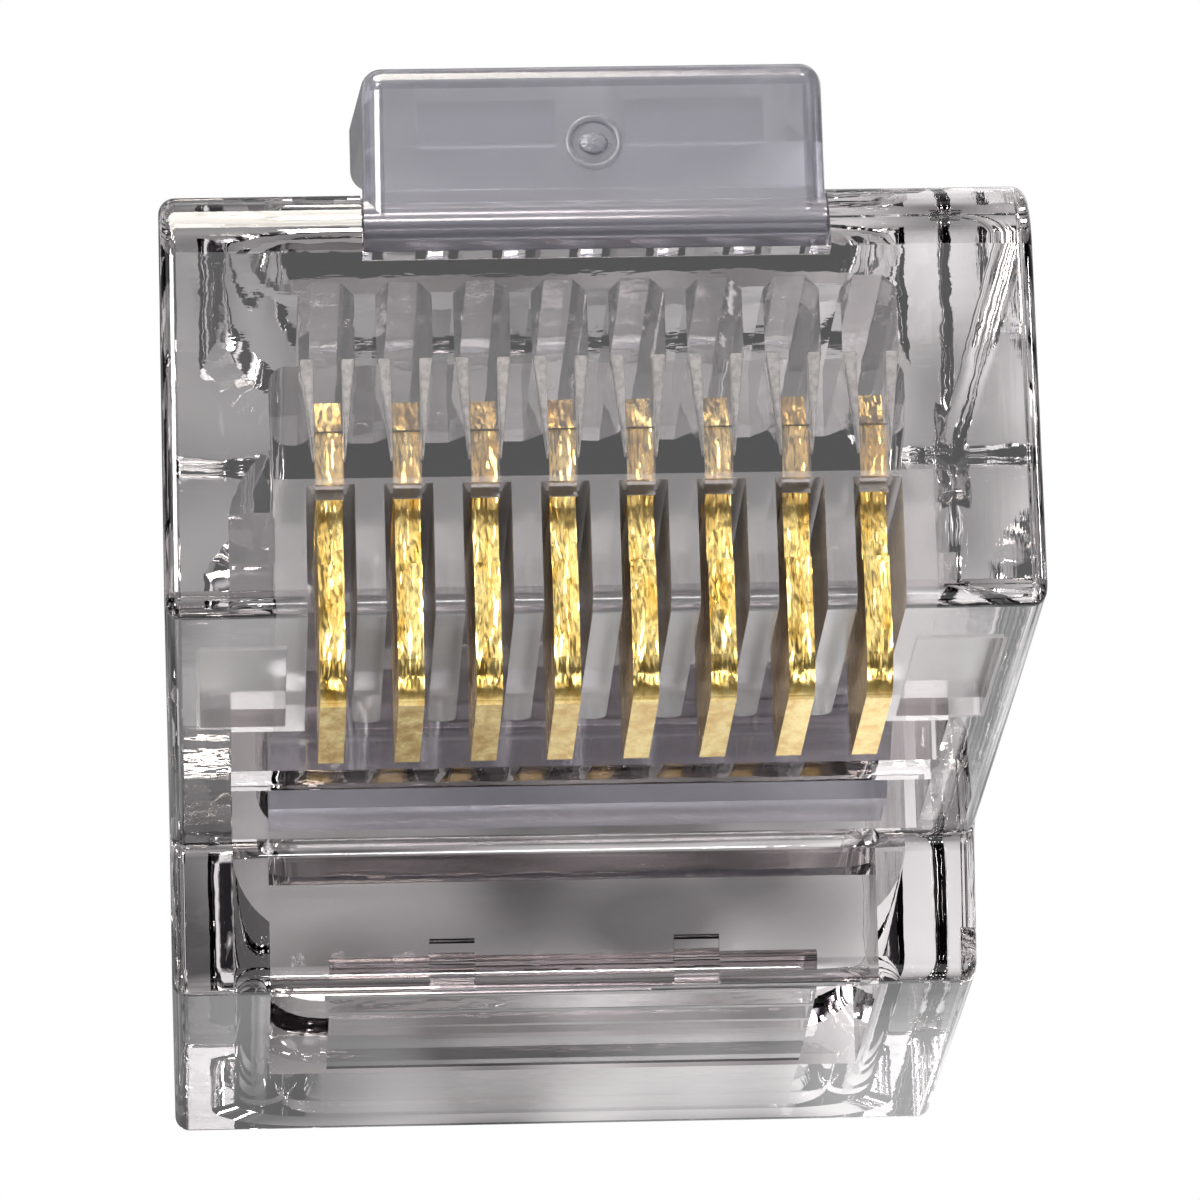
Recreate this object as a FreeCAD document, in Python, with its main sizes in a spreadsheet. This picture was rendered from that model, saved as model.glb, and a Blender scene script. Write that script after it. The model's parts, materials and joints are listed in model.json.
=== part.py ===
"""Uncrimped eight-position modular plug, as a parametric FreeCAD document.

The plug stands on its cable end.  +Z is the direction it is pushed into a jack,
X runs across the eight contacts, the contact side faces -Y and the latch faces
+Y.  The origin is the middle of the cable-end face.  Side outlines are written as
(depth, back): depth is measured from the latch-side surface towards the contact
side, back from the nose towards the cable end.
"""
import FreeCAD, Part
import os
import re
import Sketcher

# Driving sizes in millimetres, angles in degrees.
SIZES = {
    # moulded body
    "body_length": 21.5,
    "body_width": 11.5,
    "nose_depth": 6.0,
    "rear_depth": 8.0,
    "hood_start": 11.8,
    "hood_slope": 0.45,
    "nose_round": 1.1,
    "nose_edge_round": 0.3,
    "step_round": 0.3,
    "hood_round": 0.4,
    "rear_round": 0.5,
    "rear_edge_round": 0.4,
    "side_round": 0.22,
    # cable cavity
    "latch_wall": 0.9,
    "hood_wall": 1.1,
    "jacket_width": 9.7,
    "jacket_front": 13.8,
    "jacket_corner": 1.3,
    "jacket_lead_in": 0.35,
    "stop_width": 9.0,
    "stop_near": 1.15,
    "stop_far": 5.5,
    "stop_corner": 0.6,
    "funnel_front": 11.7,
    "funnel_depth": 4.0,
    "wire_room_width": 8.6,
    "wire_room_corner": 0.25,
    # wire channels
    "pitch": 1.02,
    "positions": 8,
    "channel_width": 0.74,
    "channel_near": 1.4,
    "channel_far": 2.5,
    "channel_bevel": 0.18,
    "channel_roof": 3.45,
    "channel_front": 0.55,
    "channel_back": 6.4,
    # comb of contact slots and the trench behind it
    "comb_slot": 0.64,
    "comb_floor": 4.28,
    "fin_end": 5.2,
    "trench_front": 5.75,
    "trench_back": 7.77,
    "recess_width": 9.76,
    "land_panel_sink": 0.25,
    "land_panel_front": 1.75,
    "land_panel_back": 5.5,
    "land_panel_inner": 4.15,
    "land_panel_outer": 5.3,
    # contact blades
    "blade_thick": 0.34,
    "blade_gap": 0.02,
    "blade_front": 0.72,
    "blade_length": 3.48,
    "blade_top": 6.95,
    "blade_crown": 0.5,
    "blade_foot": 5.15,
    "blade_step": 0.2,
    "blade_tip": 2.85,
    "blade_slot_end": 2.1,
    "tine_root": 4.2,
    "tine_width": 0.62,
    "tine_point": 0.5,
    # latch
    "latch_width": 6.1,
    "latch_rise": 1.5,
    "latch_slope": 15.5,
    "latch_thick": 1.15,
    "latch_wall_thick": 0.7,
    "latch_round": 0.4,
    "latch_side_round": 0.28,
    "gate_depth": -0.42,
    "gate_radius": 0.37,
    "gate_sink": 0.06,
    "gate_stub": 0.15,
    "hinge_radius": 0.45,
    "hinge_depth": 0.62,
    "hinge_back": 0.55,
    "hinge_gap": 0.03,
    "shoulder_back": 8.36,
    "shoulder_step": 0.4,
    "handle_width": 3.25,
    "handle_end": 14.6,
    "handle_thick": 0.9,
    "side_rib": 0.75,
    "centre_rib": 0.93,
    "core_skin": 0.55,
    "core_front": 1.2,
    "core_end": 7.7,
    # conductor clamp and its window
    "wire_pivot_depth": 5.05,
    "wire_pivot_back": 9.15,
    "wire_bead": 0.3,
    "wire_clamp_length": 2.05,
    "wire_clamp_sink": 0.05,
    "wire_clamp_slope": 0.83,
    "wire_clamp_tooth": 1.15,
    "wire_tooth_land": 0.7,
    "wire_window_floor": 3.0,
    "wire_end_gap": 0.53,
    # jacket clamp and its window
    "jacket_clamp_width": 7.0,
    "jacket_pivot_sink": 0.45,
    "jacket_pivot_back": 13.35,
    "jacket_bead": 0.35,
    "jacket_clamp_length": 4.05,
    "jacket_clamp_sink": 0.05,
    "jacket_clamp_slope": 0.5,
    "jacket_clamp_tooth": 1.2,
    "jacket_grip_notch": 0.35,
    "jacket_grip_teeth": 3,
    "jacket_tooth_land": 0.8,
    "jacket_end_gap": 0.85,
    "jacket_lug_length": 0.3,
    "jacket_lug_width": 0.65,
    "jacket_lug_place": 1.75,
    "clamp_gap": 0.04,
    "past": 1.0,
}

WORD = re.compile(r"[a-z]\w*")
FUNCTIONS = ("tan", "sqrt")
JACKET_PIVOT = "(rear_depth - jacket_pivot_sink)"


def named(text):
    """A size expression with each name taken from the sheet."""
    def from_sheet(word):
        return word.group() if word.group() in FUNCTIONS else "dims." + word.group()
    return WORD.sub(from_sheet, str(text))


def side(depth, back):
    """Sketch coordinates, on the YZ plane, of a point of a side outline."""
    return f"rear_depth / 2 - ({depth})", f"body_length - ({back})"


def make_sheet(doc):
    """Put the driving sizes in a spreadsheet, one aliased cell each."""
    sheet = doc.addObject("Spreadsheet::Sheet", "dims")
    for row, (alias, number) in enumerate(SIZES.items(), start=1):
        sheet.set(f"A{row}", alias)
        sheet.set(f"B{row}", str(number))
        sheet.setAlias(f"B{row}", alias)
    doc.recompute()
    return sheet


def new_body(doc, label):
    """An empty PartDesign body whose label is its node's name."""
    body = doc.addObject("PartDesign::Body", label)
    body.Label = label
    body.Placement = FreeCAD.Placement()
    return body


def origin_part(body, role):
    """One of the body's own origin planes or axes."""
    return next(item for item in body.Origin.OriginFeatures if item.Role == role)


def new_sketch(body, name, role, offset):
    """A sketch on one of the body's origin planes, moved along its normal."""
    sketch = body.newObject("Sketcher::SketchObject", name)
    sketch.AttachmentSupport = (origin_part(body, role), [""])
    sketch.MapMode = "FlatFace"
    sketch.setExpression(".AttachmentOffset.Base.z", named(offset))
    return sketch


def number(body, text):
    """The number that a size expression stands for."""
    return float(body.evalExpression(named(text)))


def pin_point(sketch, geometry, end, point, expressions):
    """Hold one sketch point at its two size expressions."""
    for axis, reach, text in zip(("DistanceX", "DistanceY"), point, expressions):
        held = sketch.addConstraint(Sketcher.Constraint(axis, -1, 1, geometry, end, reach))
        sketch.setExpression(f"Constraints[{held}]", named(text))


def outline(body, name, role, corners, offset="0"):
    """A closed polygon sketch with every corner bound to the sheet."""
    sketch = new_sketch(body, name, role, offset)
    points = [FreeCAD.Vector(number(body, corner[0]), number(body, corner[1]), 0)
              for corner in corners]
    count = len(points)
    for index in range(count):
        sketch.addGeometry(Part.LineSegment(points[index], points[(index + 1) % count]))
    for index in range(count):
        sketch.addConstraint(Sketcher.Constraint("Coincident", index, 2, (index + 1) % count, 1))
    for index, (point, corner) in enumerate(zip(points, corners)):
        pin_point(sketch, index, 1, (point.x, point.y), corner)
    return sketch


def ring(body, name, role, centre, radius, offset="0"):
    """A circle sketch bound to the sheet."""
    sketch = new_sketch(body, name, role, offset)
    middle = FreeCAD.Vector(number(body, centre[0]), number(body, centre[1]), 0)
    size = number(body, radius)
    sketch.addGeometry(Part.Circle(middle, FreeCAD.Vector(0, 0, 1), size))
    pin_point(sketch, 0, 3, (middle.x, middle.y), centre)
    held = sketch.addConstraint(Sketcher.Constraint("Radius", 0, size))
    sketch.setExpression(f"Constraints[{held}]", named(radius))
    return sketch


def extrude(body, kind, sketch, length, both_ways=True, backwards=False):
    """Pad or pocket a sketch, equally to both sides of its plane or to one side."""
    feature = body.newObject("PartDesign::" + kind, sketch.Name + "_" + kind.lower())
    feature.Profile = sketch
    feature.Midplane = both_ways
    feature.Reversed = backwards
    feature.setExpression("Length", named(length))
    sketch.Visibility = False
    return feature


def across(body, kind, name, width, corners, offset="0"):
    """A side outline extruded across the plug, equally to both sides."""
    sketch = outline(body, name, "YZ_Plane", [side(*corner) for corner in corners], offset)
    return extrude(body, kind, sketch, width)


def bead(body, kind, name, width, centre, radius):
    """A round bar, or its seat, lying across the plug."""
    sketch = ring(body, name, "YZ_Plane", side(*centre), radius)
    return extrude(body, kind, sketch, width)


def repeat(body, name, feature, count="positions"):
    """Repeat a feature at the contact pitch, once per contact position unless told."""
    pattern = body.newObject("PartDesign::LinearPattern", name)
    pattern.Originals = [feature]
    pattern.Direction = (origin_part(body, "X_Axis"), [""])
    pattern.setExpression("Length", named(f"({count} - 1) * pitch"))
    pattern.setExpression("Occurrences", named(count))
    body.Tip = pattern
    return pattern


def mirrored(body, name, feature):
    """Repeat a feature on the other side of the plug's middle plane."""
    mirror = body.newObject("PartDesign::Mirrored", name)
    mirror.Originals = [feature]
    mirror.MirrorPlane = (origin_part(body, "YZ_Plane"), [""])
    body.Tip = mirror
    return mirror


def round_edges(body, name, radius, wanted):
    """Fillet the edges of the body's tip that a test picks."""
    body.Document.recompute()
    base = body.Tip
    picked = [f"Edge{index}" for index, edge in enumerate(base.Shape.Edges, start=1)
              if wanted(edge)]
    fillet = body.newObject("PartDesign::Fillet", name)
    fillet.Base = (base, picked)
    fillet.setExpression("Radius", named(radius))
    body.Tip = fillet
    return fillet


def lies_across(body, *places):
    """Test for straight edges across the plug at given (depth, back) places."""
    spots = [[number(body, text) for text in side(*place)] for place in places]

    def wanted(edge):
        ends = [vertex.Point for vertex in edge.Vertexes]
        if len(ends) != 2 or abs(ends[0].x - ends[1].x) < 1e-3:
            return False
        return any(max(abs(end.y - y) + abs(end.z - z) for end in ends) < 1e-4 for y, z in spots)
    return wanted


def lies_beside(body, half):
    """Test for edges that lie in either of the planes at plus and minus a half width."""
    place = number(body, half)

    def wanted(edge):
        box = edge.BoundBox
        return box.XLength < 1e-4 and abs(abs(box.Center.x) - place) < 1e-4
    return wanted


def room_outline(body, name, width, near, far, corner, back):
    """A rectangle with round corners, square to the plug's axis, bound to the sheet."""
    half = f"({width}) / 2"
    low = f"rear_depth / 2 - ({far})"
    high = f"rear_depth / 2 - ({near})"
    spots = [
        (f"{corner} - {half}", low), (f"{half} - {corner}", low),
        (half, f"{low} + {corner}"), (half, f"{high} - {corner}"),
        (f"{half} - {corner}", high), (f"{corner} - {half}", high),
        (f"0 - {half}", f"{high} - {corner}"), (f"0 - {half}", f"{low} + {corner}"),
    ]
    sketch = new_sketch(body, name, "XY_Plane", f"body_length - ({back})")
    points = [FreeCAD.Vector(number(body, spot[0]), number(body, spot[1]), 0) for spot in spots]
    radius = number(body, corner)
    for index in range(0, 8, 2):
        start, end, following = points[index], points[index + 1], points[(index + 2) % 8]
        run = (end - start).normalize()
        left = FreeCAD.Vector(-run.y, run.x, 0)
        middle = end + left * radius
        bulge = middle + (run - left).normalize() * radius
        sketch.addGeometry(Part.LineSegment(start, end))
        sketch.addGeometry(Part.Arc(end, bulge, following))
    for index in range(0, 8, 2):
        pin_point(sketch, index, 1, (points[index].x, points[index].y), spots[index])
        pin_point(sketch, index, 2, (points[index + 1].x, points[index + 1].y), spots[index + 1])
        sketch.addConstraint(Sketcher.Constraint("Coincident", index, 2, index + 1, 1))
        sketch.addConstraint(Sketcher.Constraint("Coincident", index + 1, 2, (index + 2) % 8, 1))
        held = sketch.addConstraint(Sketcher.Constraint("Radius", index + 1, radius))
        sketch.setExpression(f"Constraints[{held}]", named(corner))
    return sketch


def cut_loft(body, name, first, last):
    """Cut the straight-sided space between two outlines."""
    loft = body.newObject("PartDesign::SubtractiveLoft", name)
    loft.Profile = first
    loft.Sections = [last]
    loft.Ruled = True
    first.Visibility = last.Visibility = False
    return loft


def cut_cavity(body):
    """The jacket room with its lead-in and stop, the funnel and the conductor room."""
    far = "rear_depth - hood_wall"
    mouth = ("jacket_width + 2 * jacket_lead_in", "latch_wall - jacket_lead_in",
             f"{far} + jacket_lead_in", "jacket_corner + jacket_lead_in")
    room = ("jacket_width", "latch_wall", far, "jacket_corner")
    stop = ("stop_width", "stop_near", "stop_far", "stop_corner")
    waist = ("wire_room_width", "channel_near", "funnel_depth", "wire_room_corner")
    throat = ("wire_room_width", "channel_near", "channel_far", "wire_room_corner")
    stages = [
        ("lead_in", mouth, "body_length", room, "body_length - jacket_lead_in"),
        ("jacket_room", room, "body_length - jacket_lead_in", room, "jacket_front"),
        ("funnel", stop, "jacket_front", waist, "funnel_front"),
        ("wire_room", waist, "funnel_front", throat, "channel_back"),
    ]
    for name, shape, start, next_shape, end in stages:
        cut_loft(body, name, room_outline(body, name + "_start", *shape, start),
                 room_outline(body, name + "_end", *next_shape, end))


def cut_channels(body):
    """Blind wire channels side by side: bevelled floors and roofs that slope to the slots."""
    half = "channel_width / 2"
    middle = "(1 - positions) * pitch / 2"
    near = "rear_depth / 2 - channel_near"
    far = "rear_depth / 2 - channel_far"
    roof = "rear_depth / 2 - channel_roof"
    sketch = outline(body, "wire_channel", "XY_Plane", [
        (f"{middle} - {half}", far),
        (f"{middle} - blade_thick / 2 - blade_gap", roof),
        (f"{middle} + blade_thick / 2 + blade_gap", roof),
        (f"{middle} + {half}", far),
        (f"{middle} + {half}", f"{near} - channel_bevel"),
        (f"{middle} + {half} - channel_bevel", near),
        (f"{middle} - {half} + channel_bevel", near),
        (f"{middle} - {half}", f"{near} - channel_bevel"),
    ], "body_length - channel_back - hinge_gap")
    channel = extrude(body, "Pocket", sketch, "channel_back + hinge_gap - channel_front",
                      both_ways=False, backwards=True)
    repeat(body, "wire_channels", channel)


def on_contact_side(body, name, spots):
    """An outline of (across, back) spots on the face that carries the contacts."""
    return outline(body, name, "XZ_Plane", [(x, f"body_length - ({back})") for x, back in spots],
                   "nose_depth - rear_depth / 2")


def cut_comb(body):
    """Open slots for the jack's wires, the trench behind them and the blade slots."""
    left = "(1 - positions) * pitch / 2"
    half = "comb_slot / 2"
    deep = "nose_depth - comb_floor"
    slot = on_contact_side(body, "comb_slot_open", [
        (f"{left} - {half}", "0 - past"), (f"{left} + {half}", "0 - past"),
        (f"{left} + {half}", "trench_front"), (f"{left} - {half}", "trench_front"),
    ])
    repeat(body, "comb_slots", extrude(body, "Pocket", slot, deep, both_ways=False))
    trench = on_contact_side(body, "trench", [
        (f"{left} - {half}", "fin_end"), (f"{half} - {left}", "fin_end"),
        (f"{half} - {left}", "trench_front"), ("recess_width / 2", "trench_front"),
        ("recess_width / 2", "trench_back"), ("0 - recess_width / 2", "trench_back"),
        ("0 - recess_width / 2", "trench_front"), (f"{left} - {half}", "trench_front"),
    ])
    extrude(body, "Pocket", trench, deep, both_ways=False)
    fin = ring(body, "fin_end_round", "XZ_Plane", (f"{left} + pitch / 2", "body_length - fin_end"),
               "(pitch - comb_slot) / 2", "nose_depth - rear_depth / 2")
    fin_end = extrude(body, "Pad", fin, deep, both_ways=False, backwards=True)
    repeat(body, "fin_ends", fin_end, "(positions - 1)")
    panel = on_contact_side(body, "land_panel", [
        ("land_panel_inner", "land_panel_back"), ("land_panel_outer", "land_panel_back"),
        ("land_panel_outer", "land_panel_front"), ("land_panel_inner", "land_panel_front"),
    ])
    mirrored(body, "land_panels", extrude(body, "Pocket", panel, "land_panel_sink", both_ways=False))
    blade_slot = across(body, "Pocket", "blade_slot", "blade_thick + 2 * blade_gap", [
        ("blade_slot_end", "blade_front - blade_gap"),
        ("comb_floor + past / 2", "blade_front - blade_gap"),
        ("comb_floor + past / 2", "blade_front + blade_length + blade_gap"),
        ("blade_slot_end", "blade_front + blade_length + blade_gap"),
    ], left)
    repeat(body, "blade_slots", blade_slot)


def upright(start, end, low, high):
    """Side outline of a block between two places along the plug and two depths."""
    return [(high, start), (low, start), (low, end), (high, end)]


def swing(length, lift):
    """How far back a clamp's top edge reaches while it turns about its bead."""
    return f"sqrt({length} * {length} + ({lift}) * ({lift}))"


def cut_windows(body):
    """The openings that hold the cable clamps, with two lugs for the jacket clamp's bead."""
    reach = swing("wire_clamp_length", "nose_depth - wire_clamp_sink - wire_pivot_depth")
    across(body, "Pocket", "wire_window", "recess_width", upright(
        "wire_pivot_back - wire_bead - clamp_gap", f"wire_pivot_back + {reach} + clamp_gap",
        "wire_window_floor", "nose_depth + past"))
    reach = swing("jacket_clamp_length", f"rear_depth - jacket_clamp_sink - {JACKET_PIVOT}")
    seat = "jacket_pivot_back - jacket_bead - clamp_gap"
    across(body, "Pocket", "jacket_window", "jacket_clamp_width + 2 * jacket_end_gap", upright(
        f"{seat} - jacket_lug_length", f"jacket_pivot_back + {reach} + clamp_gap",
        "rear_depth - hood_wall - past", "rear_depth + past"))
    lug = across(body, "Pad", "jacket_lug", "jacket_lug_width", upright(
        f"{seat} - 2 * jacket_lug_length", seat,
        f"{JACKET_PIVOT} - jacket_bead", f"{JACKET_PIVOT} + jacket_bead"), "jacket_lug_place")
    mirrored(body, "jacket_lugs", lug)


def cut_latch_seat(body):
    """The rounded notch in the nose where the latch grows out of the body."""
    width = "latch_width + 2 * hinge_gap"
    seat = "hinge_radius + hinge_gap"
    across(body, "Pocket", "latch_notch", width, [
        ("0 - past", "0 - past"),
        (f"hinge_depth + {seat}", "0 - past"),
        (f"hinge_depth + {seat}", "hinge_back"),
        ("hinge_depth", "hinge_back"),
        ("hinge_depth", f"hinge_back + {seat}"),
        ("0 - past", f"hinge_back + {seat}"),
    ])
    bead(body, "Pocket", "hinge_seat", width, ("hinge_depth", "hinge_back"), seat)


def make_housing(doc):
    """The clear moulded body: nose, comb, channels, windows and hood."""
    body = new_body(doc, "housing")
    across(body, "Pad", "side_view", "body_width", [
        ("0", "0"),
        ("nose_depth", "0"),
        ("nose_depth", "hood_start"),
        ("rear_depth", "hood_start + hood_slope"),
        ("rear_depth", "body_length"),
        ("0", "body_length"),
    ])
    round_edges(body, "nose_latch_round", "nose_round", lies_across(body, ("0", "0")))
    round_edges(body, "nose_contact_round", "nose_edge_round",
                lies_across(body, ("nose_depth", "0")))
    round_edges(body, "hood_foot_round", "step_round",
                lies_across(body, ("nose_depth", "hood_start")))
    round_edges(body, "hood_top_round", "hood_round",
                lies_across(body, ("rear_depth", "hood_start + hood_slope")))
    round_edges(body, "rear_contact_round", "rear_round",
                lies_across(body, ("rear_depth", "body_length")))
    round_edges(body, "rear_latch_round", "rear_edge_round",
                lies_across(body, ("0", "body_length")))
    round_edges(body, "side_rounds", "side_round", lies_beside(body, "body_width / 2"))
    cut_cavity(body)
    cut_channels(body)
    cut_comb(body)
    cut_windows(body)
    cut_latch_seat(body)
    return body


def lever(drop, back):
    """Depth of the lever's outer face at a distance from the nose, plus a drop."""
    return f"0 - latch_rise - tan(latch_slope) * ({back} - {LATCH_FRONT}) + {drop}"


LATCH_FRONT = "(hinge_back - hinge_radius)"


def on_outer_sides(body):
    """Test for the lever's long outer side edges and the upright ones in front of them."""
    beside = lies_beside(body, "latch_width / 2")
    last = number(body, "body_length - shoulder_back")

    def wanted(edge):
        lowest = min(vertex.Point.z for vertex in edge.Vertexes)
        highest = max(vertex.Point.z for vertex in edge.Vertexes)
        outer = max(vertex.Point.y for vertex in edge.Vertexes)
        return beside(edge) and outer > number(body, "rear_depth / 2 + latch_rise / 2") and (
            highest > number(body, f"body_length - {LATCH_FRONT} - latch_round - gate_sink")
            or lowest < last + 1e-4)
    return wanted


def make_latch(doc):
    """Root wall, ribbed lever with locking shoulders, and the narrow handle."""
    body = new_body(doc, "latch")
    wall_back = f"{LATCH_FRONT} + latch_wall_thick"
    across(body, "Pad", "lever_wide", "latch_width", [
        ("hinge_depth", LATCH_FRONT),
        ("0 - latch_rise", LATCH_FRONT),
        (lever("0", "shoulder_back"), "shoulder_back"),
        (lever("latch_thick", "shoulder_back"), "shoulder_back"),
        (lever("latch_thick", wall_back), wall_back),
        ("hinge_depth", wall_back),
    ])
    round_edges(body, "root_round", "latch_round",
                lies_across(body, ("0 - latch_rise", LATCH_FRONT)))
    round_edges(body, "lever_rounds", "latch_side_round", on_outer_sides(body))
    bead(body, "Pad", "hinge_bead", "latch_width", ("hinge_depth", "hinge_back"), "hinge_radius")
    across(body, "Pad", "handle", "handle_width", [
        (lever("shoulder_step", "shoulder_back - past"), "shoulder_back - past"),
        (lever("shoulder_step", "handle_end"), "handle_end"),
        (lever("shoulder_step + handle_thick", "handle_end"), "handle_end"),
        (lever("shoulder_step + handle_thick", "shoulder_back - past"), "shoulder_back - past"),
    ])
    core = across(body, "Pocket", "lever_core", "(latch_width - 2 * side_rib - centre_rib) / 2", [
        (lever("core_skin", "core_front"), "core_front"),
        (lever("core_skin", "core_end"), "core_end"),
        (lever("latch_thick + past", "core_end"), "core_end"),
        (lever("latch_thick + past", "core_front"), "core_front"),
    ], "(latch_width - 2 * side_rib + centre_rib) / 4")
    mirrored(body, "lever_cores", core)
    front = f"body_length - {LATCH_FRONT}"
    spot = ("0", "rear_depth / 2 - gate_depth")
    mark = ring(body, "gate_mark", "XY_Plane", spot, "gate_radius", front)
    extrude(body, "Pocket", mark, "gate_sink", both_ways=False)
    stub = ring(body, "gate_stub", "XY_Plane", spot, "gate_stub", f"{front} - gate_sink")
    extrude(body, "Pad", stub, "gate_sink", both_ways=False)
    return body


def make_contact(doc, index):
    """One stamped blade: rounded crown, flat top and three piercing tines."""
    body = new_body(doc, f"contact_{index + 1}")
    rear = "blade_front + blade_length"
    foot_front = "blade_front + blade_step"
    foot_rear = f"{rear} - blade_step"
    middle = "blade_front + blade_length / 2"
    corners = [
        ("blade_top", "blade_front"),
        ("blade_foot", "blade_front"),
        ("blade_foot", foot_front),
        ("blade_tip + tine_point", foot_front),
        ("blade_tip", f"{foot_front} + tine_width / 2"),
        ("blade_tip + tine_point", f"{foot_front} + tine_width"),
        ("tine_root", f"{foot_front} + tine_width"),
        ("tine_root", f"{middle} - tine_width / 2"),
        ("blade_tip + tine_point", f"{middle} - tine_width / 2"),
        ("blade_tip", middle),
        ("blade_tip + tine_point", f"{middle} + tine_width / 2"),
        ("tine_root", f"{middle} + tine_width / 2"),
        ("tine_root", f"{foot_rear} - tine_width"),
        ("blade_tip + tine_point", f"{foot_rear} - tine_width"),
        ("blade_tip", f"{foot_rear} - tine_width / 2"),
        ("blade_tip + tine_point", foot_rear),
        ("blade_foot", foot_rear),
        ("blade_foot", rear),
        ("blade_top", rear),
    ]
    across(body, "Pad", f"blade_side_{index + 1}", "blade_thick", corners)
    round_edges(body, f"crown_{index + 1}", "blade_crown",
                lies_across(body, ("blade_top", "blade_front")))
    round_edges(body, f"heel_{index + 1}", "blade_crown / 2", lies_across(body, ("blade_top", rear)))
    place = f"({index} - (positions - 1) / 2) * pitch"
    body.setExpression(".Placement.Base.x", named(place))
    return body


def make_clamp(doc, label, width, pivot, radius, length, top, slope, tooth, land, grip=()):
    """A cable clamp: a bar that swings inwards about a bead on its nose-side edge."""
    body = new_body(doc, label)
    depth, back = pivot
    end = f"{back} + {length}"
    across(body, "Pad", label + "_bar", width, [
        (f"{depth} + {radius}", back),
        (top, f"{back} + {slope}"),
        (top, end),
        (f"{depth} - {tooth}", end),
        (f"{depth} - {tooth}", f"{end} - {land}"),
        *grip,
        (f"{depth} - {radius}", back),
    ])
    bead(body, "Pad", label + "_bead", width, pivot, radius)
    return body


def grip_teeth():
    """Saw teeth along the jacket clamp's underside, from its deep end to its bead."""
    teeth = SIZES["jacket_grip_teeth"]
    corners = []
    for tooth in range(teeth, 0, -1):
        share = f"{tooth} / jacket_grip_teeth"
        depth = (f"{JACKET_PIVOT} - jacket_bead"
                 f" - (jacket_clamp_tooth - jacket_bead) * {share}")
        back = f"jacket_pivot_back + (jacket_clamp_length - jacket_tooth_land) * {share}"
        if tooth < teeth:
            corners.append((depth, back))
        corners.append((f"{depth} + jacket_grip_notch", back))
    return corners


def check(doc, bodies):
    """Stop if any feature failed or any sub-part is not one sound solid."""
    failed = [item.Name for item in doc.Objects if {"Invalid", "Error"} & set(item.State)]
    if failed:
        raise RuntimeError("failed: " + ", ".join(failed))
    for body in bodies:
        if body.Shape.isNull() or not body.Shape.isValid() or len(body.Shape.Solids) != 1:
            raise RuntimeError("unsound shape: " + body.Label)


def main():
    doc = FreeCAD.newDocument("modular_plug")
    make_sheet(doc)
    bodies = [make_housing(doc), make_latch(doc)]
    bodies += [make_contact(doc, index) for index in range(SIZES["positions"])]
    bodies.append(make_clamp(
        doc, "conductor_clamp", "recess_width - 2 * wire_end_gap",
        ("wire_pivot_depth", "wire_pivot_back"), "wire_bead", "wire_clamp_length",
        "nose_depth - wire_clamp_sink", "wire_clamp_slope", "wire_clamp_tooth", "wire_tooth_land"))
    bodies.append(make_clamp(
        doc, "jacket_clamp", "jacket_clamp_width", (JACKET_PIVOT, "jacket_pivot_back"),
        "jacket_bead", "jacket_clamp_length", "rear_depth - jacket_clamp_sink",
        "jacket_clamp_slope", "jacket_clamp_tooth", "jacket_tooth_land", grip_teeth()))
    doc.recompute()
    check(doc, bodies)
    os.makedirs("parts", exist_ok=True)
    for body in bodies:
        body.Shape.exportStep(os.path.join("parts", body.Label + ".step"))
        box = body.Shape.BoundBox
        print(f"{body.Label}: {body.Shape.Volume:.3f} mm3, "
              f"{box.XLength:.2f} x {box.YLength:.2f} x {box.ZLength:.2f}")


main()
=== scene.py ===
"""Looks of an uncrimped modular plug, laid out as a Blender add-on and run as a script."""
import json
import math

import bpy
from bpy.props import FloatProperty, FloatVectorProperty, IntProperty, PointerProperty
from mathutils import Matrix, Vector


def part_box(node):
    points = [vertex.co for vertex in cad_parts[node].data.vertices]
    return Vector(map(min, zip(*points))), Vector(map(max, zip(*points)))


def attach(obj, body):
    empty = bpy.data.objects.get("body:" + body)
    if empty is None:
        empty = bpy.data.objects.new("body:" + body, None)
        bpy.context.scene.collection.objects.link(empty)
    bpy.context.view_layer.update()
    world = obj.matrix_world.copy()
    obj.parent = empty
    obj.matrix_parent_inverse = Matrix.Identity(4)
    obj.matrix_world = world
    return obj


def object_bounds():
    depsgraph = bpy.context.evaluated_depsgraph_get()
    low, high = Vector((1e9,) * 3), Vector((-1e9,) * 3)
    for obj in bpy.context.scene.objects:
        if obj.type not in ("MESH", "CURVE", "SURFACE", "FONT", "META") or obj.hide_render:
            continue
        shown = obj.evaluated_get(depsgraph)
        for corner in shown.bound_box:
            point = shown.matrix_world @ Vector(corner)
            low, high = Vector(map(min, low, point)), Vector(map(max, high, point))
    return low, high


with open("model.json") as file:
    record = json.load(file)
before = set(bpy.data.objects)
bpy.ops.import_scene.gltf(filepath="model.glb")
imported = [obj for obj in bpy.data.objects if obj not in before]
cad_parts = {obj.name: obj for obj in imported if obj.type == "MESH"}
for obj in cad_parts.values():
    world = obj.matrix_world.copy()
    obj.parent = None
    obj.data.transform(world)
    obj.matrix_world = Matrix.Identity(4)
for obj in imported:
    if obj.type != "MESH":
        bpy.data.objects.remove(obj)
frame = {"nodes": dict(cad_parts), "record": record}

CAD_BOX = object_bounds()

bl_info = {
    "name": "Modular plug looks",
    "version": (1, 0, 0),
    "blender": (4, 5, 0),
    "location": "View3D > Sidebar > Plug",
    "description": "Finishes, small mouldings and a plain studio for a modular plug",
    "category": "Object",
}

MM = 0.001
CONTACTS = frame["record"]["behaviour"]["bodies"]["contacts"]

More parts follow.
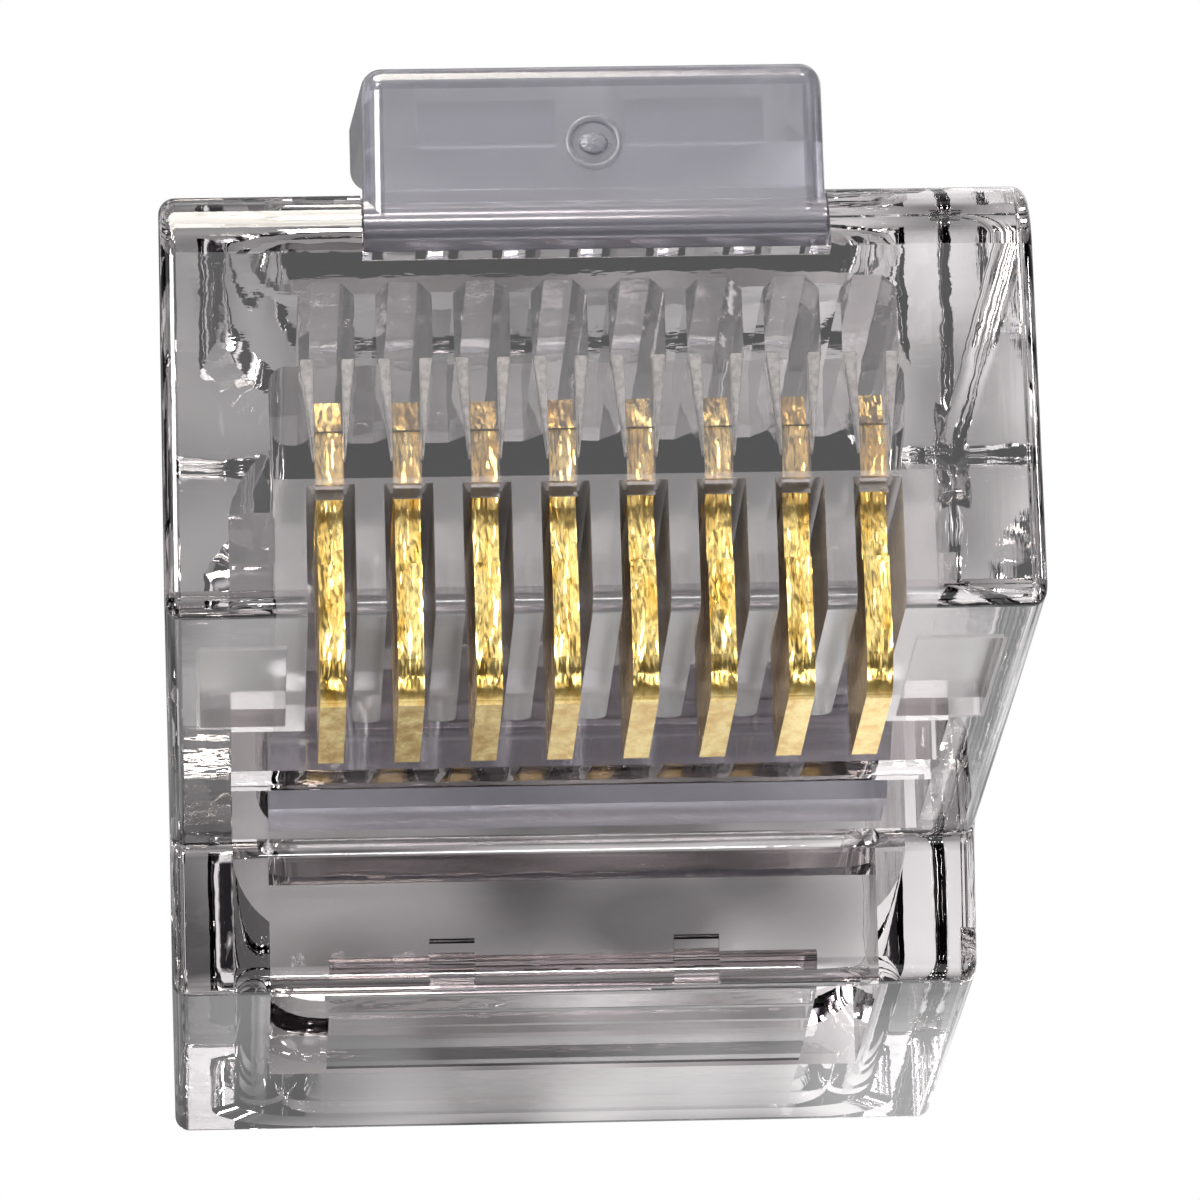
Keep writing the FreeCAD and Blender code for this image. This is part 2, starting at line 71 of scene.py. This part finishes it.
# Spark-eroded zones of the body, each as its lowest and highest corner in millimetres and
# mirrored across x = 0.
FROSTED = (((-4.3, -2.2, 15.6), (4.3, -0.2, 21.6)),     # the comb between the blades
           ((4.1, -2.1, 15.9), (5.35, -1.6, 19.8)))     # the low land beside the comb

POLYCARBONATE_IOR = 1.585
MOULD_RELIEF = 0.02 * MM
STRIP_RELIEF = 0.15 * MM
STRIP_STRETCH = (2.0, 0.6, 1.0)     # draws the marks out along a blade's height

# How the card shows in gloss and through clear plastic, as painted light and shade: a painted
# shadow as its dark core under the plug, then pairs of a share of its reach and the level there.
# It is squeezed sideways, so its painted ring of white light is a tall oval.
PAINTED_SHADOW_MIDDLE = (-12 * MM, 14 * MM, 0)
PAINTED_SHADE_SQUEEZE = (1.5, 1.0, 1.0)
PAINTED_SHADE_REACH = 100 * MM
PAINTED_SHADOW_CORE = 0.06
PAINTED_LIGHT_AND_SHADE_STEPS = ((0.1, 0.24), (0.16, 0.3), (0.22, 0.6), (0.3, 1.0), (0.5, 0.3))

FLANK_TIP = 0.15            # width of a flank's narrow end, as a share of its wide end
FLANK_LEAN = 0.42           # shift of that end towards the tine, as a share of the width
FLANK_EDGE = 0.02 * MM

FLOOR_SIZE = 600 * MM
FLOOR_GAP = 0.02 * MM
# Lamps: place and size in millimetres, and colour. Their powers are among the settings.
LAMPS = {"key": ((-90, 50, 160), 70, (1.0, 1.0, 1.0)),
         "fill": ((80, -140, 70), 80, (1.0, 1.0, 1.0)),
         "top": ((12, 62, 200), 60, (1.0, 1.0, 1.0)),
         "rim": ((-30, 130, 50), 80, (1.0, 0.95, 0.86))}
SPARK_SIZE = 20 * MM
SPARK_RING = 160 * MM
SPARK_START = 0.3           # turn of the first small lamp, as a share of the space between two
SPARK_LOW, SPARK_STEP, SPARK_LEVELS = 40 * MM, 50 * MM, 3


# ---------------------------------------------------------------- helpers

def linear(hex_colour):
    """Linear RGBA of an sRGB hex colour."""
    def channel(start):
        part = int(hex_colour[start:start + 2], 16) / 255
        return part / 12.92 if part <= 0.04045 else ((part + 0.055) / 1.055) ** 2.4
    return channel(1), channel(3), channel(5), 1.0


def grey(level):
    """A neutral linear colour."""
    return level, level, level, 1.0


def add_node(tree, kind, settings=None, **inputs):
    """Add a node, set its properties and feed its inputs with values or other sockets."""
    node = tree.nodes.new(kind)
    for name, value in (settings or {}).items():
        setattr(node, name, value)
    for name, value in inputs.items():
        socket = node.inputs[int(name[1:]) if name[0] == "_" else name.replace("_", " ")]
        if isinstance(value, bpy.types.NodeSocket):
            tree.links.new(value, socket)
        else:
            socket.default_value = value
    return node


def new_material(name):
    """An empty material with its output node."""
    material = bpy.data.materials.new(name)
    material.use_nodes = True
    material.node_tree.nodes.clear()
    output = material.node_tree.nodes.new("ShaderNodeOutputMaterial")
    return material, material.node_tree, output


def dress(piece, material):
    """Give a piece one material and nothing else."""
    piece.data.materials.clear()
    piece.data.materials.append(material)


def select_only(*pieces):
    """Select these pieces alone and make the first one active."""
    bpy.ops.object.select_all(action="DESELECT")
    for piece in pieces:
        piece.select_set(True)
    bpy.context.view_layer.objects.active = pieces[0]


def settle(piece, name, body, material):
    """Bake a piece's place into its mesh, then name it, dress it and let it ride."""
    select_only(piece)
    bpy.ops.object.transform_apply(location=True, rotation=True, scale=True)
    piece.name = piece.data.name = name
    dress(piece, material)
    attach(piece, body)


# -------------------------------------------------------------- materials

def zone(tree, spot, low, high):
    """A socket that is 1 inside a box given in millimetres, and 0 outside it."""
    middle = [(a + b) / 2 * MM for a, b in zip(low, high)]
    half = [(b - a) / 2 * MM for a, b in zip(low, high)]
    offset = add_node(tree, "ShaderNodeVectorMath", {"operation": "SUBTRACT"}, _0=spot, _1=middle)
    away = add_node(tree, "ShaderNodeVectorMath", {"operation": "ABSOLUTE"}, _0=offset.outputs[0])
    past = add_node(tree, "ShaderNodeVectorMath", {"operation": "SUBTRACT"},
                    _0=away.outputs[0], _1=half)
    split = add_node(tree, "ShaderNodeSeparateXYZ", Vector=past.outputs[0])
    worst = add_node(tree, "ShaderNodeMath", {"operation": "MAXIMUM"},
                     _0=split.outputs[0], _1=split.outputs[1])
    worst = add_node(tree, "ShaderNodeMath", {"operation": "MAXIMUM"},
                     _0=worst.outputs[0], _1=split.outputs[2])
    return add_node(tree, "ShaderNodeMath", {"operation": "LESS_THAN"},
                    _0=worst.outputs[0], _1=0.0).outputs[0]


def frosting(tree, place):
    """A socket from 0 on polished faces to 1 where the mould was spark-eroded."""
    split = add_node(tree, "ShaderNodeSeparateXYZ", Vector=place.outputs["Object"])
    across = add_node(tree, "ShaderNodeMath", {"operation": "ABSOLUTE"}, _0=split.outputs[0])
    spot = add_node(tree, "ShaderNodeCombineXYZ", _0=across.outputs[0], _1=split.outputs[1],
                    _2=split.outputs[2]).outputs[0]
    total = zone(tree, spot, *FROSTED[0])
    for corners in FROSTED[1:]:
        total = add_node(tree, "ShaderNodeMath", {"operation": "MAXIMUM"},
                         _0=total, _1=zone(tree, spot, *corners)).outputs[0]
    return total


def polycarbonate(name, roughness, clearness, colour, frosted=False):
    """A clear moulding: a little smoke at each face, with a faint flow ripple."""
    look = bpy.context.scene.plug_plastic
    material, tree, output = new_material(name)
    place = add_node(tree, "ShaderNodeTexCoord")
    flow = add_node(tree, "ShaderNodeTexNoise", Vector=place.outputs["Object"],
                    Scale=look.flow_scale, Detail=3.0)
    wave = add_node(tree, "ShaderNodeBump", Strength=look.ripple, Distance=MOULD_RELIEF,
                    Height=flow.outputs["Fac"])
    shader = add_node(tree, "ShaderNodeBsdfPrincipled", Base_Color=tuple(colour) + (1.0,),
                      Roughness=roughness, IOR=POLYCARBONATE_IOR, Transmission_Weight=clearness,
                      Normal=wave.outputs["Normal"])
    if frosted:
        frost = frosting(tree, place)
        for socket, level in (("Roughness", look.etched_roughness),
                              ("Transmission Weight", look.etched_clearness)):
            start = shader.inputs[socket].default_value
            blend = add_node(tree, "ShaderNodeMix", {"data_type": "FLOAT"},
                             _0=frost, _2=start, _3=level)
            tree.links.new(blend.outputs[0], shader.inputs[socket])
    tree.links.new(shader.outputs["BSDF"], output.inputs["Surface"])
    return material


def clear_polycarbonate():
    """Clear polycarbonate from a polished mould: glassy, sharp highlights, dark where it turns."""
    look = bpy.context.scene.plug_plastic
    return polycarbonate("moulded_clear_polycarbonate", look.roughness, look.clearness,
                         look.colour, frosted=True)


def etched_polycarbonate():
    """The same plastic from a spark-eroded mould: an even, frosted blue-grey."""
    look = bpy.context.scene.plug_plastic
    return polycarbonate("etched_clear_polycarbonate", look.etched_roughness,
                         look.etched_clearness, look.etched_colour)


def torn_polycarbonate():
    """Torn polycarbonate where the gate was cut: the same plastic whitened by the strain."""
    look = bpy.context.scene.plug_marks
    material, tree, output = new_material("stress_whitened_polycarbonate")
    place = add_node(tree, "ShaderNodeTexCoord")
    grain = add_node(tree, "ShaderNodeTexNoise", Vector=place.outputs["Object"],
                     Scale=look.tear_scale, Detail=3.0)
    relief = add_node(tree, "ShaderNodeBump", Strength=0.5, Distance=MOULD_RELIEF,
                      Height=grain.outputs["Fac"])
    shader = add_node(tree, "ShaderNodeBsdfPrincipled", Base_Color=linear("#C4C3CC"),
                      Roughness=0.35, IOR=POLYCARBONATE_IOR, Transmission_Weight=0.8,
                      Normal=relief.outputs["Normal"])
    tree.links.new(shader.outputs["BSDF"], output.inputs["Surface"])
    return material


def painted_highlight_polycarbonate():
    """Rough, half-clear polycarbonate whose mottled near-white colour is a painted highlight, for
    the light the flanks catch in the clear body.
    """
    look = bpy.context.scene.plug_guides
    material, tree, output = new_material("frosted_white_polycarbonate")
    place = add_node(tree, "ShaderNodeTexCoord")
    grain = add_node(tree, "ShaderNodeTexNoise", Vector=place.outputs["Object"],
                     Scale=look.highlight_grain_scale, Detail=2.0)
    # Mottled near-white tones: a painted highlight.
    tone = add_node(tree, "ShaderNodeValToRGB", Fac=grain.outputs["Fac"])
    stops = tone.color_ramp.elements
    stops[0].position, stops[0].color = 0.3, linear("#D8D4D0")
    stops[1].position, stops[1].color = 0.6, linear("#FFFDFA")
    shader = add_node(tree, "ShaderNodeBsdfPrincipled", Base_Color=tone.outputs["Color"],
                      Roughness=0.45, IOR=POLYCARBONATE_IOR, Transmission_Weight=0.35)
    tree.links.new(shader.outputs["BSDF"], output.inputs["Surface"])
    return material


def gold_plate():
    """Hard gold plated over stamped phosphor bronze: bright, with sheared edges that sparkle."""
    look = bpy.context.scene.plug_contacts
    material, tree, output = new_material("gold_plated_phosphor_bronze")
    place = add_node(tree, "ShaderNodeTexCoord")
    stretch = add_node(tree, "ShaderNodeMapping", Vector=place.outputs["Object"],
                       Scale=STRIP_STRETCH)
    facing = add_node(tree, "ShaderNodeSeparateXYZ", Vector=place.outputs["Normal"])
    nose_side = add_node(tree, "ShaderNodeMapRange", Value=facing.outputs[2], From_Min=0.3,
                         From_Max=0.9, To_Min=0.05, To_Max=1.0)
    marks = add_node(tree, "ShaderNodeTexNoise", Vector=stretch.outputs["Vector"],
                     Scale=look.mark_scale, Detail=4.0, Roughness=0.6)
    tone = add_node(tree, "ShaderNodeValToRGB", Fac=marks.outputs["Fac"])
    stops = tone.color_ramp.elements
    stops[0].position, stops[0].color = 0.35, linear("#DDB050")
    stops[1].position, stops[1].color = 0.65, linear("#FFE69A")
    rough = add_node(tree, "ShaderNodeMapRange", Value=marks.outputs["Fac"],
                     To_Min=0.16, To_Max=0.34)
    # Dents of the shear show on the edges that face the nose; the rolled sides have faint marks.
    dents = add_node(tree, "ShaderNodeTexNoise", Vector=stretch.outputs["Vector"],
                     Scale=look.dent_scale, Detail=2.0)
    sheared = add_node(tree, "ShaderNodeMath", {"operation": "MULTIPLY"},
                       _0=dents.outputs["Fac"], _1=nose_side.outputs["Result"])
    both = add_node(tree, "ShaderNodeMath", {"operation": "MULTIPLY_ADD"},
                    _0=marks.outputs["Fac"], _1=0.03, _2=sheared.outputs[0])
    relief = add_node(tree, "ShaderNodeBump", Strength=look.marks, Distance=STRIP_RELIEF,
                      Height=both.outputs[0])
    shader = add_node(tree, "ShaderNodeBsdfPrincipled", Base_Color=tone.outputs["Color"],
                      Roughness=rough.outputs["Result"], Metallic=1.0,
                      Normal=relief.outputs["Normal"])
    tree.links.new(shader.outputs["BSDF"], output.inputs["Surface"])
    return material


def white_card():
    """White card: plain white to the eye; gloss and clear plastic see painted light and shade on
    it:
    painted patches, a painted shadow under the plug, a painted ring of white light round it and
    dim far off."""
    look = bpy.context.scene.plug_studio
    material, tree, output = new_material("white_card")
    path = add_node(tree, "ShaderNodeLightPath")
    through = add_node(tree, "ShaderNodeMath", {"operation": "MAXIMUM"},
                       _0=path.outputs["Is Glossy Ray"], _1=path.outputs["Is Transmission Ray"])
    seen = add_node(tree, "ShaderNodeMath", {"operation": "MAXIMUM"},
                    _0=path.outputs["Is Camera Ray"], _1=through.outputs[0])
    place = add_node(tree, "ShaderNodeTexCoord")
    squeezed = add_node(tree, "ShaderNodeMapping", Vector=place.outputs["Object"],
                        Scale=PAINTED_SHADE_SQUEEZE)
    away = add_node(tree, "ShaderNodeVectorMath", {"operation": "DISTANCE"},
                    _0=squeezed.outputs["Vector"], _1=PAINTED_SHADOW_MIDDLE)
    span = add_node(tree, "ShaderNodeMath", {"operation": "DIVIDE"}, _0=away.outputs["Value"],
                    _1=PAINTED_SHADE_REACH)
    # Painted shadow under the plug, a painted ring of light round it and dim far off, by distance.
    light = add_node(tree, "ShaderNodeValToRGB", Fac=span.outputs[0])
    light.color_ramp.interpolation = "EASE"
    stops = light.color_ramp.elements
    stops[0].position, stops[0].color = PAINTED_SHADOW_CORE, grey(look.shade)
    stops[1].position, stops[1].color = 1.0, grey(look.dusk)
    for position, level in PAINTED_LIGHT_AND_SHADE_STEPS:
        stops.new(position).color = grey(level)
    # Painted patches of light and shade over the whole pattern.
    dapple = add_node(tree, "ShaderNodeTexNoise", Vector=place.outputs["Object"],
                      Scale=look.painted_patch_scale, Detail=1.0)
    share = add_node(tree, "ShaderNodeMapRange", Value=dapple.outputs["Fac"], From_Min=0.38,
                     From_Max=0.62, To_Min=0.45, To_Max=1.6)
    lit = add_node(tree, "ShaderNodeMath", {"operation": "MULTIPLY"},
                   _0=light.outputs["Color"], _1=share.outputs["Result"])
    level = add_node(tree, "ShaderNodeMix", {"data_type": "FLOAT"},
                     _0=path.outputs["Is Camera Ray"], _2=lit.outputs[0], _3=1.0)
    paint = add_node(tree, "ShaderNodeBsdfDiffuse", Color=linear("#F4F4F4"))
    glow = add_node(tree, "ShaderNodeEmission", Color=grey(1.0), Strength=level.outputs[0])
    mix = add_node(tree, "ShaderNodeMixShader", Fac=seen.outputs[0])
    tree.links.new(paint.outputs["BSDF"], mix.inputs[1])
    tree.links.new(glow.outputs["Emission"], mix.inputs[2])
    tree.links.new(mix.outputs["Shader"], output.inputs["Surface"])
    return material


def soft_room():
    """A world that is white to the eye and lights the plug with broad light and dark patches."""
    look = bpy.context.scene.plug_studio
    world = bpy.data.worlds.new("soft_room")
    world.use_nodes = True
    tree = world.node_tree
    tree.nodes.clear()
    path = add_node(tree, "ShaderNodeLightPath")
    level = add_node(tree, "ShaderNodeMix", {"data_type": "FLOAT"},
                     _0=path.outputs["Is Camera Ray"], _2=look.world, _3=1.0)
    around = add_node(tree, "ShaderNodeTexCoord")
    room = add_node(tree, "ShaderNodeTexNoise", Vector=around.outputs["Generated"],
                    Scale=look.room_scale, Detail=0.0)
    shade = add_node(tree, "ShaderNodeValToRGB", Fac=room.outputs["Fac"])
    stops = shade.color_ramp.elements
    stops[0].position, stops[0].color = 0.5, linear("#2A282B")
    stops[1].position, stops[1].color = 0.62, grey(1.0)
    stops.new(0.56).color = linear("#8C8A90")
    colour = add_node(tree, "ShaderNodeMix", {"data_type": "RGBA"},
                      _0=path.outputs["Is Camera Ray"], _6=shade.outputs["Color"], _7=grey(1.0))
    sky = add_node(tree, "ShaderNodeBackground", Color=colour.outputs[2],
                   Strength=level.outputs[0])
    output = tree.nodes.new("ShaderNodeOutputWorld")
    tree.links.new(sky.outputs["Background"], output.inputs["Surface"])
    return world


# ------------------------------------------------------------- properties

class PlasticSettings(bpy.types.PropertyGroup):
    """The clear mouldings."""
    colour: FloatVectorProperty(
        name="Tint", description="Colour of the smoky polycarbonate",
        subtype="COLOR", default=linear("#DCD7D8")[:3], min=0, max=1)
    clearness: FloatProperty(
        name="Clearness", description="Share of light let through where the mould was polished",
        default=1.0, min=0, max=1, subtype="FACTOR")
    roughness: FloatProperty(
        name="Roughness", description="Haze where the mould was polished",
        default=0.0, min=0, max=1, subtype="FACTOR")
    etched_colour: FloatVectorProperty(
        name="Etched tint", description="Colour of the frosted latch and conductor clamp",
        subtype="COLOR", default=linear("#BEBDC7")[:3], min=0, max=1)
    etched_clearness: FloatProperty(
        name="Etched clearness", description="Share of light let through where it is frosted",
        default=0.86, min=0, max=1, subtype="FACTOR")
    etched_roughness: FloatProperty(
        name="Etched roughness", description="Haze where it is frosted",
        default=0.16, min=0, max=1, subtype="FACTOR")
    ripple: FloatProperty(
        name="Flow ripple", description="Strength of the mould-flow ripple",
        default=0.25, min=0, max=1, subtype="FACTOR")
    flow_scale: FloatProperty(
        name="Flow scale", description="Flow ripples in a metre, 0.9 in a millimetre",
        default=0.9 / MM, min=1)


class ContactSettings(bpy.types.PropertyGroup):
    """The gold-plated blades. Their marks are coarser than real shear marks, so they show."""
    marks: FloatProperty(
        name="Shear marks", description="Strength of the stamping marks",
        default=0.55, min=0, max=1, subtype="FACTOR")
    mark_scale: FloatProperty(
        name="Mark scale", description="Rolling marks in a metre, 2.5 in a millimetre",
        default=2.5 / MM, min=1)
    dent_scale: FloatProperty(
        name="Dent scale", description="Shear dents in a metre, 2.6 in a millimetre",
        default=2.6 / MM, min=1)


class GuideSettings(bpy.types.PropertyGroup):
    """The flared flanks beside the tines, painted near white as a highlight. Their mottling is
    coarser than real grit, so it shows.
    """
    width: FloatProperty(
        name="Flank width", description="Width of a flank at its wide end",
        default=0.17 * MM, min=0, unit="LENGTH")
    height: FloatProperty(
        name="Flank height", description="Reach of a flank along the tine",
        default=1.35 * MM, min=0, unit="LENGTH")
    length: FloatProperty(
        name="Flank length", description="Reach of a flank along the plug",
        default=0.35 * MM, min=0, unit="LENGTH")
    gap: FloatProperty(
        name="Gap", description="Clearance between a flank and its tine",
        default=0.02 * MM, min=0, unit="LENGTH")
    back: FloatProperty(
        name="Setback", description="Plastic between the nose and the flanks",
        default=0.45 * MM, min=0, unit="LENGTH")
    depth: FloatProperty(
        name="Depth", description="Height of a flank's middle above the hood's outer face",
        default=4.85 * MM, min=0, unit="LENGTH")
    # Scale of the mottling in the flanks' painted highlight.
    highlight_grain_scale: FloatProperty(
        name="Frost scale", description="Frost grains in a metre, 12 in a millimetre",
        default=12 / MM, min=1)


class MarkSettings(bpy.types.PropertyGroup):
    """The cut gate on the latch."""
    gate: FloatProperty(
        name="Gate", description="Distance of the gate from the plug's middle plane",
        default=4.42 * MM, min=0, unit="LENGTH")
    sink: FloatProperty(
        name="Sink", description="Depth of the gate mark's middle below the latch's end",
        default=0.02 * MM, min=0, unit="LENGTH")
    ring_radius: FloatProperty(
        name="Ring radius", description="Radius of the raised ring round the gate",
        default=0.34 * MM, min=0, unit="LENGTH")
    ring_section: FloatProperty(
        name="Ring section", description="Radius of the ring's own section",
        default=0.045 * MM, min=0, unit="LENGTH")
    scar_radius: FloatProperty(
        name="Scar radius", description="Radius of the torn stub",
        default=0.19 * MM, min=0, unit="LENGTH")
    tear: FloatProperty(
        name="Tear", description="Unevenness of the torn stub",
        default=0.012 * MM, min=0, unit="LENGTH")
    tear_scale: FloatProperty(
        name="Tear scale", description="Grains of torn plastic in a metre, 9 in a millimetre",
        default=9 / MM, min=1)


class StudioSettings(bpy.types.PropertyGroup):
    """Lamps, card and room."""
    key: FloatProperty(
        name="Key lamp", description="Power of the large lamp",
        default=0.32, min=0, unit="POWER")
    fill: FloatProperty(
        name="Fill lamp", description="Power of the low front lamp",
        default=0.12, min=0, unit="POWER")
    top: FloatProperty(
        name="Top lamp", description="Power of the lamp over the nose",
        default=0.02, min=0, unit="POWER")
    rim: FloatProperty(
        name="Rim lamp", description="Power of the low lamp on the latch side",
        default=0.22, min=0, unit="POWER")
    sparks: IntProperty(
        name="Small lamps", description="Number of small lamps all round",
        default=7, min=0)
    spark: FloatProperty(
        name="Small lamp", description="Power of each small lamp",
        default=0.035, min=0, unit="POWER")
    # Level of the painted shadow that gloss and the clear plastic see on the card under the plug.
    shade: FloatProperty(
        name="Shade", description="Level of the card under the plug",
        default=0.2, min=0, max=1, subtype="FACTOR")
    dusk: FloatProperty(
        name="Dusk", description="Level of the card far from the plug",
        default=0.15, min=0, max=1, subtype="FACTOR")
    # Scale of the painted patches of light and shade on the card.
    painted_patch_scale: FloatProperty(
        name="Dapple scale", description="Patches of the card in a metre, 0.26 in a millimetre",
        default=0.26 / MM, min=1)
    world: FloatProperty(
        name="World", description="Level of the soft light all round",
        default=1.1, min=0)
    room_scale: FloatProperty(
        name="Room scale", description="Light and dark patches all round",
        default=3.0, min=0.1)


# ------------------------------------------------------- shapes and studio

def shape_flank(place, size, side):
    """A guide flank beside one tine: a wedge that narrows towards the contact side."""
    bpy.ops.object.select_all(action="DESELECT")
    bpy.ops.mesh.primitive_cube_add(size=1, location=place, scale=size)
    flank = bpy.context.object
    bpy.ops.object.mode_set(mode="EDIT")
    bpy.ops.mesh.select_all(action="DESELECT")
    bpy.ops.object.mode_set(mode="OBJECT")
    for vertex in flank.data.vertices:
        vertex.select = vertex.co.y < 0
    bpy.ops.object.mode_set(mode="EDIT")
    bpy.ops.transform.resize(value=(FLANK_TIP, 1, 1))
    bpy.ops.transform.translate(value=(-side * FLANK_LEAN * size[0], 0, 0))
    bpy.ops.mesh.select_all(action="SELECT")
    bpy.ops.mesh.bevel(offset=FLANK_EDGE, segments=2)
    bpy.ops.object.mode_set(mode="OBJECT")
    bpy.ops.object.transform_apply(location=True, rotation=True, scale=True)
    return flank


def smooth(piece, degrees):
    """Smooth shading, kept sharp where faces meet at more than an angle."""
    select_only(piece)
    bpy.ops.object.shade_smooth_by_angle(angle=math.radians(degrees))


def add_lamp(name, place, target, size, power, colour=(1.0, 1.0, 1.0)):
    """A soft square lamp aimed at a point."""
    aim = (Vector(target) - Vector(place)).to_track_quat("-Z", "Y").to_euler()
    bpy.ops.object.light_add(type="AREA", location=place, rotation=aim)
    lamp = bpy.context.object
    lamp.name = name
    lamp.data.size = size
    lamp.data.energy = power
    lamp.data.color = colour


def add_camera(target, azimuth, elevation, roll, distance, lens):
    """A camera that looks at a point from a direction, turned about its own axis."""
    turn = (Matrix.Rotation(math.radians(azimuth), 4, "Z")
            @ Matrix.Rotation(math.radians(90 - elevation), 4, "X")
            @ Matrix.Rotation(math.radians(roll), 4, "Z"))
    place = Vector(target) + turn @ Vector((0, 0, distance))
    bpy.ops.object.camera_add(location=place[:3], rotation=turn.to_euler())
    camera = bpy.context.object
    camera.name = "camera"
    camera.data.lens = lens
    camera.data.sensor_width = 36
    camera.data.clip_start = 10 * MM
    camera.data.clip_end = 10
    bpy.context.scene.camera = camera


# -------------------------------------------------------------- operators

class PLUG_OT_mouldings(bpy.types.Operator):
    """Finish the clear body, latch and cable clamps"""
    bl_idname = "plug.mouldings"
    bl_label = "Finish the clear mouldings"

    def execute(self, context):
        clear = clear_polycarbonate()
        etched = etched_polycarbonate()
        for name in ("housing", "jacket_clamp"):
            dress(frame["nodes"][name], clear)
        for name in ("latch", "conductor_clamp"):
            dress(frame["nodes"][name], etched)
        return {"FINISHED"}


class PLUG_OT_contacts(bpy.types.Operator):
    """Finish the eight blades"""
    bl_idname = "plug.contacts"
    bl_label = "Finish the contacts"

    def execute(self, context):
        gold = gold_plate()
        for name in CONTACTS:
            dress(frame["nodes"][name], gold)
        return {"FINISHED"}


class PLUG_OT_guides(bpy.types.Operator):
    """Add the flared flanks that guide each wire under its tines, painted near white as a
    highlight
    """
    bl_idname = "plug.guides"
    bl_label = "Add the guide flanks"

    def execute(self, context):
        look = context.scene.plug_guides
        low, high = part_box(CONTACTS[0])
        middle = (low[0] + high[0]) / 2
        beside = (high[0] - low[0]) / 2 + look.gap + look.width / 2
        height = CAD_BOX[0][1] + look.depth
        back = CAD_BOX[1][2] - look.back - look.length / 2
        size = (look.width, look.height, look.length)
        pair = [shape_flank((middle + side * beside, height, back), size, side)
                for side in (-1, 1)]
        flanks = list(pair)
        for name in CONTACTS[1:]:
            low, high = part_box(name)
            for flank in pair:
                copy = flank.copy()
                copy.data = flank.data.copy()
                context.collection.objects.link(copy)
                copy.location.x = (low[0] + high[0]) / 2 - middle
                flanks.append(copy)
        select_only(*flanks)
        bpy.ops.object.join()
        # The flanks' near-white colour is a painted highlight.
        settle(context.object, "guide_flanks", "housing", painted_highlight_polycarbonate())
        return {"FINISHED"}


class PLUG_OT_marks(bpy.types.Operator):
    """Add the gate scar on the latch"""
    bl_idname = "plug.marks"
    bl_label = "Add the moulding marks"

    def execute(self, context):
        look = context.scene.plug_marks
        white = torn_polycarbonate()
        gate = (0, look.gate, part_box("latch")[1][2] - look.sink)
        bpy.ops.object.select_all(action="DESELECT")
        bpy.ops.mesh.primitive_torus_add(
            location=gate, major_segments=40, minor_segments=10,
            major_radius=look.ring_radius, minor_radius=look.ring_section)
        ring = context.object
        bpy.ops.object.select_all(action="DESELECT")
        bpy.ops.mesh.primitive_ico_sphere_add(location=gate, subdivisions=4,
                                              radius=look.scar_radius, scale=(1.0, 0.75, 0.3))
        scar = context.object
        bpy.ops.object.mode_set(mode="EDIT")
        bpy.ops.mesh.select_all(action="SELECT")
        bpy.ops.transform.vertex_random(offset=look.tear, seed=5)
        bpy.ops.object.mode_set(mode="OBJECT")
        for name, mark in (("gate_ring", ring), ("gate_scar", scar)):
            settle(mark, name, "latch", white)
            smooth(mark, degrees=40)
        return {"FINISHED"}


class PLUG_OT_studio(bpy.types.Operator):
    """Add the white floor, the soft lamps and the camera"""
    bl_idname = "plug.studio"
    bl_label = "Add the studio"

    def execute(self, context):
        look = context.scene.plug_studio
        low, high = CAD_BOX
        middle = (Vector(low) + Vector(high)) / 2
        bpy.ops.object.select_all(action="DESELECT")
        bpy.ops.mesh.primitive_plane_add(size=FLOOR_SIZE, location=(0, 0, low[2] - FLOOR_GAP))
        floor = context.object
        floor.name = "studio_floor"
        dress(floor, white_card())
        for name, (place, size, colour) in LAMPS.items():
            add_lamp(f"{name}_lamp", Vector(place) * MM, middle, size * MM,
                     getattr(look, name), colour)
        for turn in range(look.sparks):
            angle = math.tau * (turn + SPARK_START) / look.sparks
            place = (SPARK_RING * math.cos(angle), SPARK_RING * math.sin(angle),
                     SPARK_LOW + SPARK_STEP * (turn % SPARK_LEVELS))
            add_lamp(f"spark_lamp_{turn + 1}", place, middle, SPARK_SIZE, look.spark)
        context.scene.world = soft_room()
        add_camera(target=(0.413 * MM, 1.151 * MM, 11.109 * MM), azimuth=-9.6, elevation=73.39,
                   roll=8.27, distance=124.085 * MM, lens=261.95)
        context.scene.view_settings.view_transform = "Standard"
        return {"FINISHED"}


class PLUG_PT_panel(bpy.types.Panel):
    """The plug's steps in the sidebar"""
    bl_idname = "PLUG_PT_panel"
    bl_label = "Modular plug"
    bl_space_type = "VIEW_3D"
    bl_region_type = "UI"
    bl_category = "Plug"

    def draw(self, context):
        for operator in OPERATORS:
            self.layout.operator(operator.bl_idname)


OPERATORS = (PLUG_OT_mouldings, PLUG_OT_contacts, PLUG_OT_guides, PLUG_OT_marks, PLUG_OT_studio)
GROUPS = {"plug_plastic": PlasticSettings, "plug_contacts": ContactSettings,
          "plug_guides": GuideSettings, "plug_marks": MarkSettings,
          "plug_studio": StudioSettings}


def register():
    for group in GROUPS.values():
        bpy.utils.register_class(group)
    for name, group in GROUPS.items():
        setattr(bpy.types.Scene, name, PointerProperty(type=group))
    for operator in OPERATORS:
        bpy.utils.register_class(operator)
    bpy.utils.register_class(PLUG_PT_panel)


def unregister():
    bpy.utils.unregister_class(PLUG_PT_panel)
    for operator in reversed(OPERATORS):
        bpy.utils.unregister_class(operator)
    for name in GROUPS:
        delattr(bpy.types.Scene, name)
    for group in GROUPS.values():
        bpy.utils.unregister_class(group)


def main():
    register()
    bpy.ops.plug.mouldings()
    bpy.ops.plug.contacts()
    bpy.ops.plug.guides()
    bpy.ops.plug.marks()
    bpy.ops.plug.studio()


if __name__ == "__main__":
    main()
